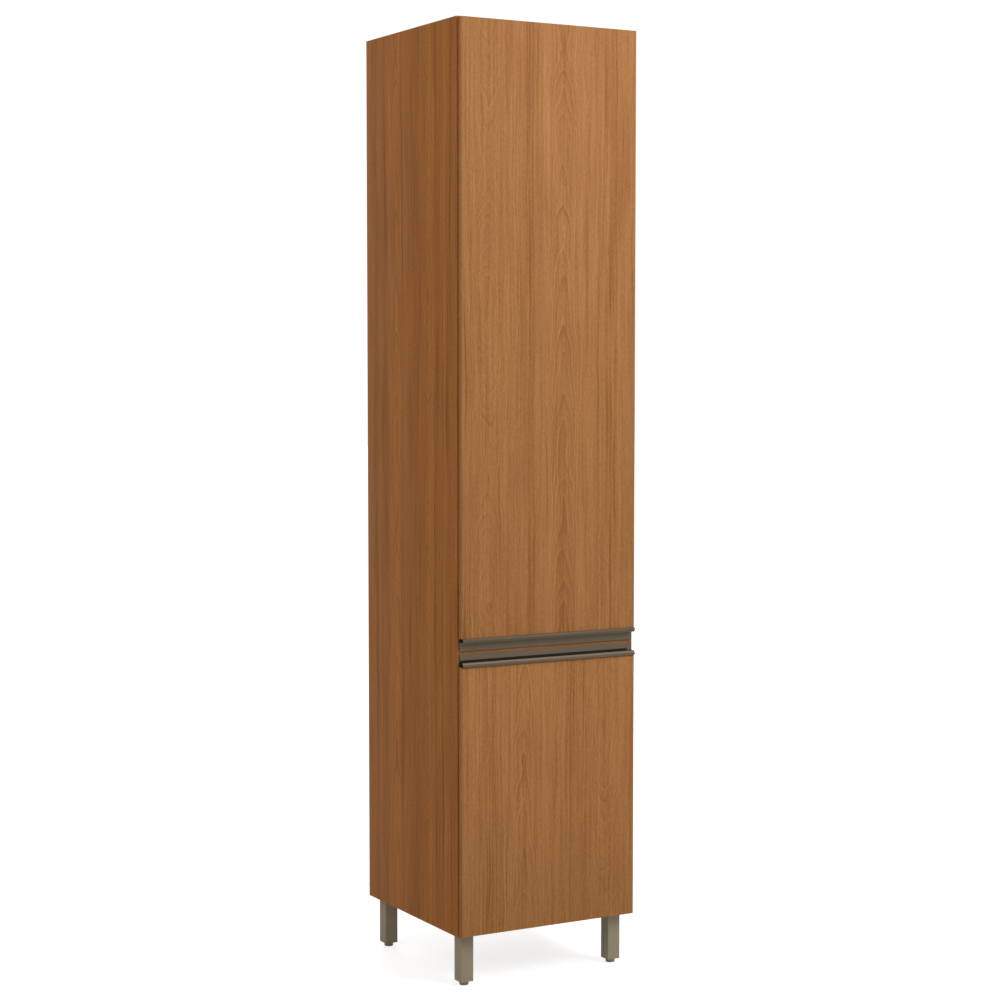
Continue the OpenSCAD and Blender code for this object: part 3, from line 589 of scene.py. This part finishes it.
def threaded(node):
    """Replaces a plain stud by one with a helical thread and chamfered ends."""
    pitch, steps, chamfer = 1.25 * MM, 24, 0.3 * MM
    low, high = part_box(node)
    radius, length = (high.x - low.x) / 2, high.z - low.z
    core = radius - 0.6 * pitch
    root = core - 0.1 * MM
    turns = int(length / pitch) - 2
    start = (length - (turns + 1) * pitch) / 2
    ridge = [(root, 0.02), (radius, 0.45), (radius, 0.55), (root, 0.98)]
    shape = bmesh.new()
    verts = [shape.verts.new((r, 0, start + share * pitch)) for r, share in ridge]
    edges = [shape.edges.new((verts[k - 1], verts[k])) for k in range(len(verts))]
    bmesh.ops.spin(shape, geom=verts + edges, cent=(0, 0, 0), axis=(0, 0, 1), dvec=(0, 0, pitch / steps),
                   angle=math.tau * turns, steps=steps * turns)
    bmesh.ops.holes_fill(shape, edges=[edge for edge in shape.edges if edge.is_boundary])
    turned([(0, 0), (core - chamfer, 0), (core, chamfer), (core, length - chamfer),
            (core - chamfer, length), (0, length)], shape)
    closed(shape)
    middle = (low + high) / 2
    bmesh.ops.translate(shape, verts=shape.verts, vec=(middle.x, middle.y, low.z))
    publish("threaded_" + node, shape, node)


for corner in CORNERS:
    threaded("stud_" + corner)


# Studio

def lamp(name, place, target, size, power):
    data = bpy.data.lights.new(name, "AREA")
    data.shape = "RECTANGLE"
    data.size, data.size_y = size
    data.energy = power
    made = bpy.data.objects.new(name, data)
    made.location = place
    made.rotation_euler = (Vector(target) - Vector(place)).to_track_quat("-Z", "Y").to_euler()
    bpy.context.scene.collection.objects.link(made)


lamp("key light", (2.0, -3.6, 3.8), (0, 0, 1.5), (2.4, 2.4), 154)
lamp("left fill", (-4.0, -1.6, 4.1), (0, 0, 1.7), (2.5, 3.0), 54)
lamp("back fill", (1.6, 4.4, 3.0), (0, 0, 1.3), (2.6, 2.6), 70)


def seen(tree):
    """1 for a ray that shows the studio itself: from the camera, off a gloss or through something clear."""
    rays = tree.nodes.new("ShaderNodeLightPath").outputs
    share = rays["Is Camera Ray"]
    for kind in ("Is Glossy Ray", "Is Transmission Ray"):
        either = tree.nodes.new("ShaderNodeMath")
        either.operation = "MAXIMUM"
        tree.links.new(share, either.inputs[0])
        tree.links.new(rays[kind], either.inputs[1])
        share = either.outputs[0]
    return share


# World: white where it is seen, and a softer light on the cabinet
world = bpy.data.worlds.new("studio")
world.use_nodes = True
bpy.context.scene.world = world
sky = world.node_tree
soft = sky.nodes["Background"]
white = sky.nodes.new("ShaderNodeBackground")
for background, strength in ((soft, 0.35), (white, 1.05)):
    background.inputs["Color"].default_value = (1, 1, 1, 1)
    background.inputs["Strength"].default_value = strength
mixed = sky.nodes.new("ShaderNodeMixShader")
sky.links.new(seen(sky), mixed.inputs[0])
sky.links.new(soft.outputs[0], mixed.inputs[1])
sky.links.new(white.outputs[0], mixed.inputs[2])
sky.links.new(mixed.outputs[0], sky.nodes["World Output"].inputs["Surface"])

# Floor: pale, white to the camera away from the cabinet, and it keeps the shadow
floor_mesh = bpy.data.meshes.new("floor")
grid = bmesh.new()
bmesh.ops.create_grid(grid, x_segments=1, y_segments=1, size=30)
grid.to_mesh(floor_mesh)
grid.free()
floor = bpy.data.objects.new("floor", floor_mesh)
bpy.context.scene.collection.objects.link(floor)
ground = Finish("studio floor", Base_Color=(0.45, 0.45, 0.45, 1), Roughness=0.9)
from_cabinet = ground.add("VectorMath", {0: ground.place}, operation="LENGTH").outputs["Value"]
strength = ground.times(seen(ground.tree), ground.spread(from_cabinet, 0.4, 3.5, 0.78, 1.0))
glow = ground.add("Emission", {"Strength": strength}).outputs[0]
both = ground.add("AddShader", {0: ground.shader.outputs[0], 1: glow}).outputs[0]
ground.tree.links.new(both, ground.tree.nodes["Material Output"].inputs["Surface"])
floor_mesh.materials.append(ground.material)

# Camera at the photograph's place
LOOKS_DOWN, LOOKS_RIGHT = 3.6653, 29.3411
camera_data = bpy.data.cameras.new("camera")
camera_data.lens = 79.202
camera_data.sensor_width = 36
camera_data.clip_end = 100
camera = bpy.data.objects.new("camera", camera_data)
camera.location = (-2.74745, -4.88804, 1.53665)
camera.rotation_euler = (math.radians(90 - LOOKS_DOWN), 0, math.radians(-LOOKS_RIGHT))
bpy.context.scene.collection.objects.link(camera)
bpy.context.scene.camera = camera
bpy.context.scene.view_settings.view_transform = "Standard"
